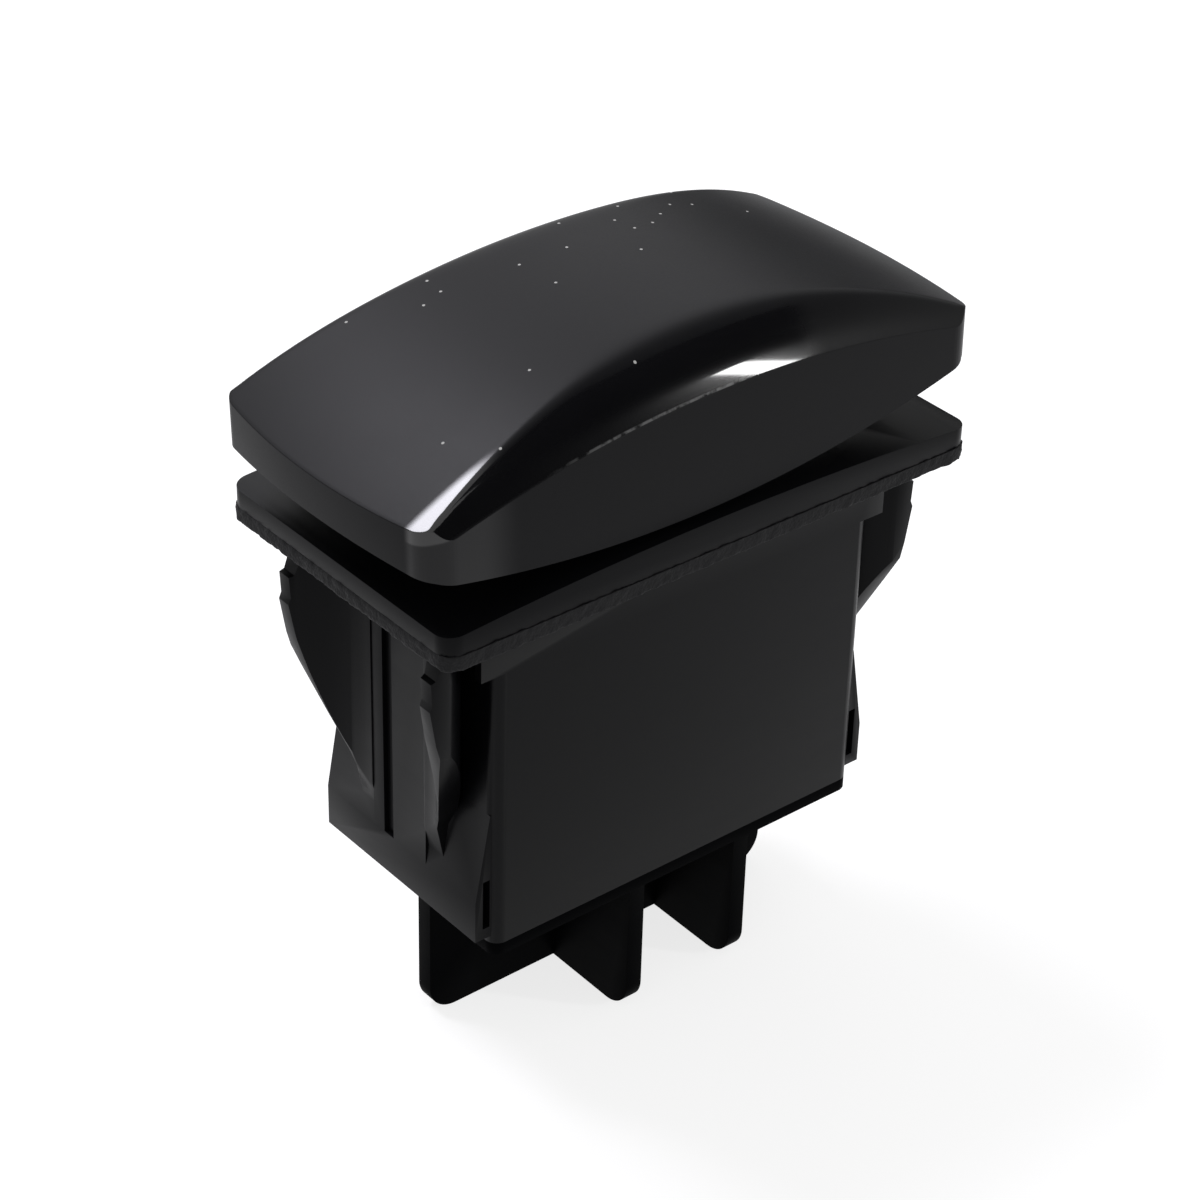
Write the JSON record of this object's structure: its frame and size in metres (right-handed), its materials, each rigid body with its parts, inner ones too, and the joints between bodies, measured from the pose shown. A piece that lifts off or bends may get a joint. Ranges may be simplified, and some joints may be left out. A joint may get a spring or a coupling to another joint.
{
  "type": "panel rocker switch",
  "caption": "Sealed snap-in panel rocker switch with a lens-shaped rocker, gasketed bezel, snap legs at each end and blade terminals between barrier walls.",
  "frame": {"origin": "middle of the gasket's underside, where it presses on the panel's front face", "axes": "+X along the switch, +Y across it towards the terminal row, +Z out of the panel towards the rocker"},
  "size_m": [0.05, 0.0252, 0.0566],
  "materials": {
    "housing_plastic": "fine matte moulding",
    "gasket_foam": "closed-cell foam",
    "base_plastic": "smooth moulding",
    "seal_rubber": "matte",
    "sealant": "cured resin",
    "brass": "stamped",
    "contact_metal": "silver alloy",
    "steel": "drawn",
    "boot_rubber": "matte",
    "rocker_plastic": "satin, glossier rounded shoulders",
    "plunger_plastic": "natural",
    "copper": "stamped copper alloy"
  },
  "bodies": {
    "body": {"housing": "housing_plastic", "panel_gasket": "gasket_foam", "base": "base_plastic", "base_seal": "seal_rubber", "terminal_sealant": "sealant", "common_terminal": "brass", "left_terminal": "brass", "right_terminal": "brass", "fixed_contact_left": "contact_metal", "fixed_contact_right": "contact_metal", "fulcrum_bracket": "brass", "pivot_pin": "steel", "sealing_boot": "boot_rubber", "boot_clamp": "base_plastic"},
    "rocker": {"rocker_cap": "rocker_plastic", "actuator": "base_plastic", "plunger_spring": "steel"},
    "plunger": {"plunger": "plunger_plastic"},
    "lever": {"contact_lever": "copper", "moving_contact_left": "contact_metal", "moving_contact_right": "contact_metal"}
  },
  "joints": [
    {"name": "rocker_pivot", "type": "hinge", "parent": "body", "child": "rocker", "pos_m": [0, 0, -0.002], "axis": [0, 1, 0], "range_deg": [-4.5, 7.5], "deforming": ["sealing_boot"]},
    {"name": "plunger_slide", "type": "slide", "parent": "rocker", "child": "plunger", "axis": [-0.0262, 0, 0.9997], "range_m": [0, 0.0008], "stiffness_N_per_m": 400, "springref_m": -0.002, "deforming": ["plunger_spring"]},
    {"name": "lever_pivot", "type": "hinge", "parent": "body", "child": "lever", "pos_m": [0, 0.0042, -0.017], "axis": [0, 1, 0], "range_deg": [-5.25, 3.15]}
  ],
  "couplings": [
    {"joint": "lever_pivot", "follows": "rocker_pivot", "ratio": -0.7}
  ]
}
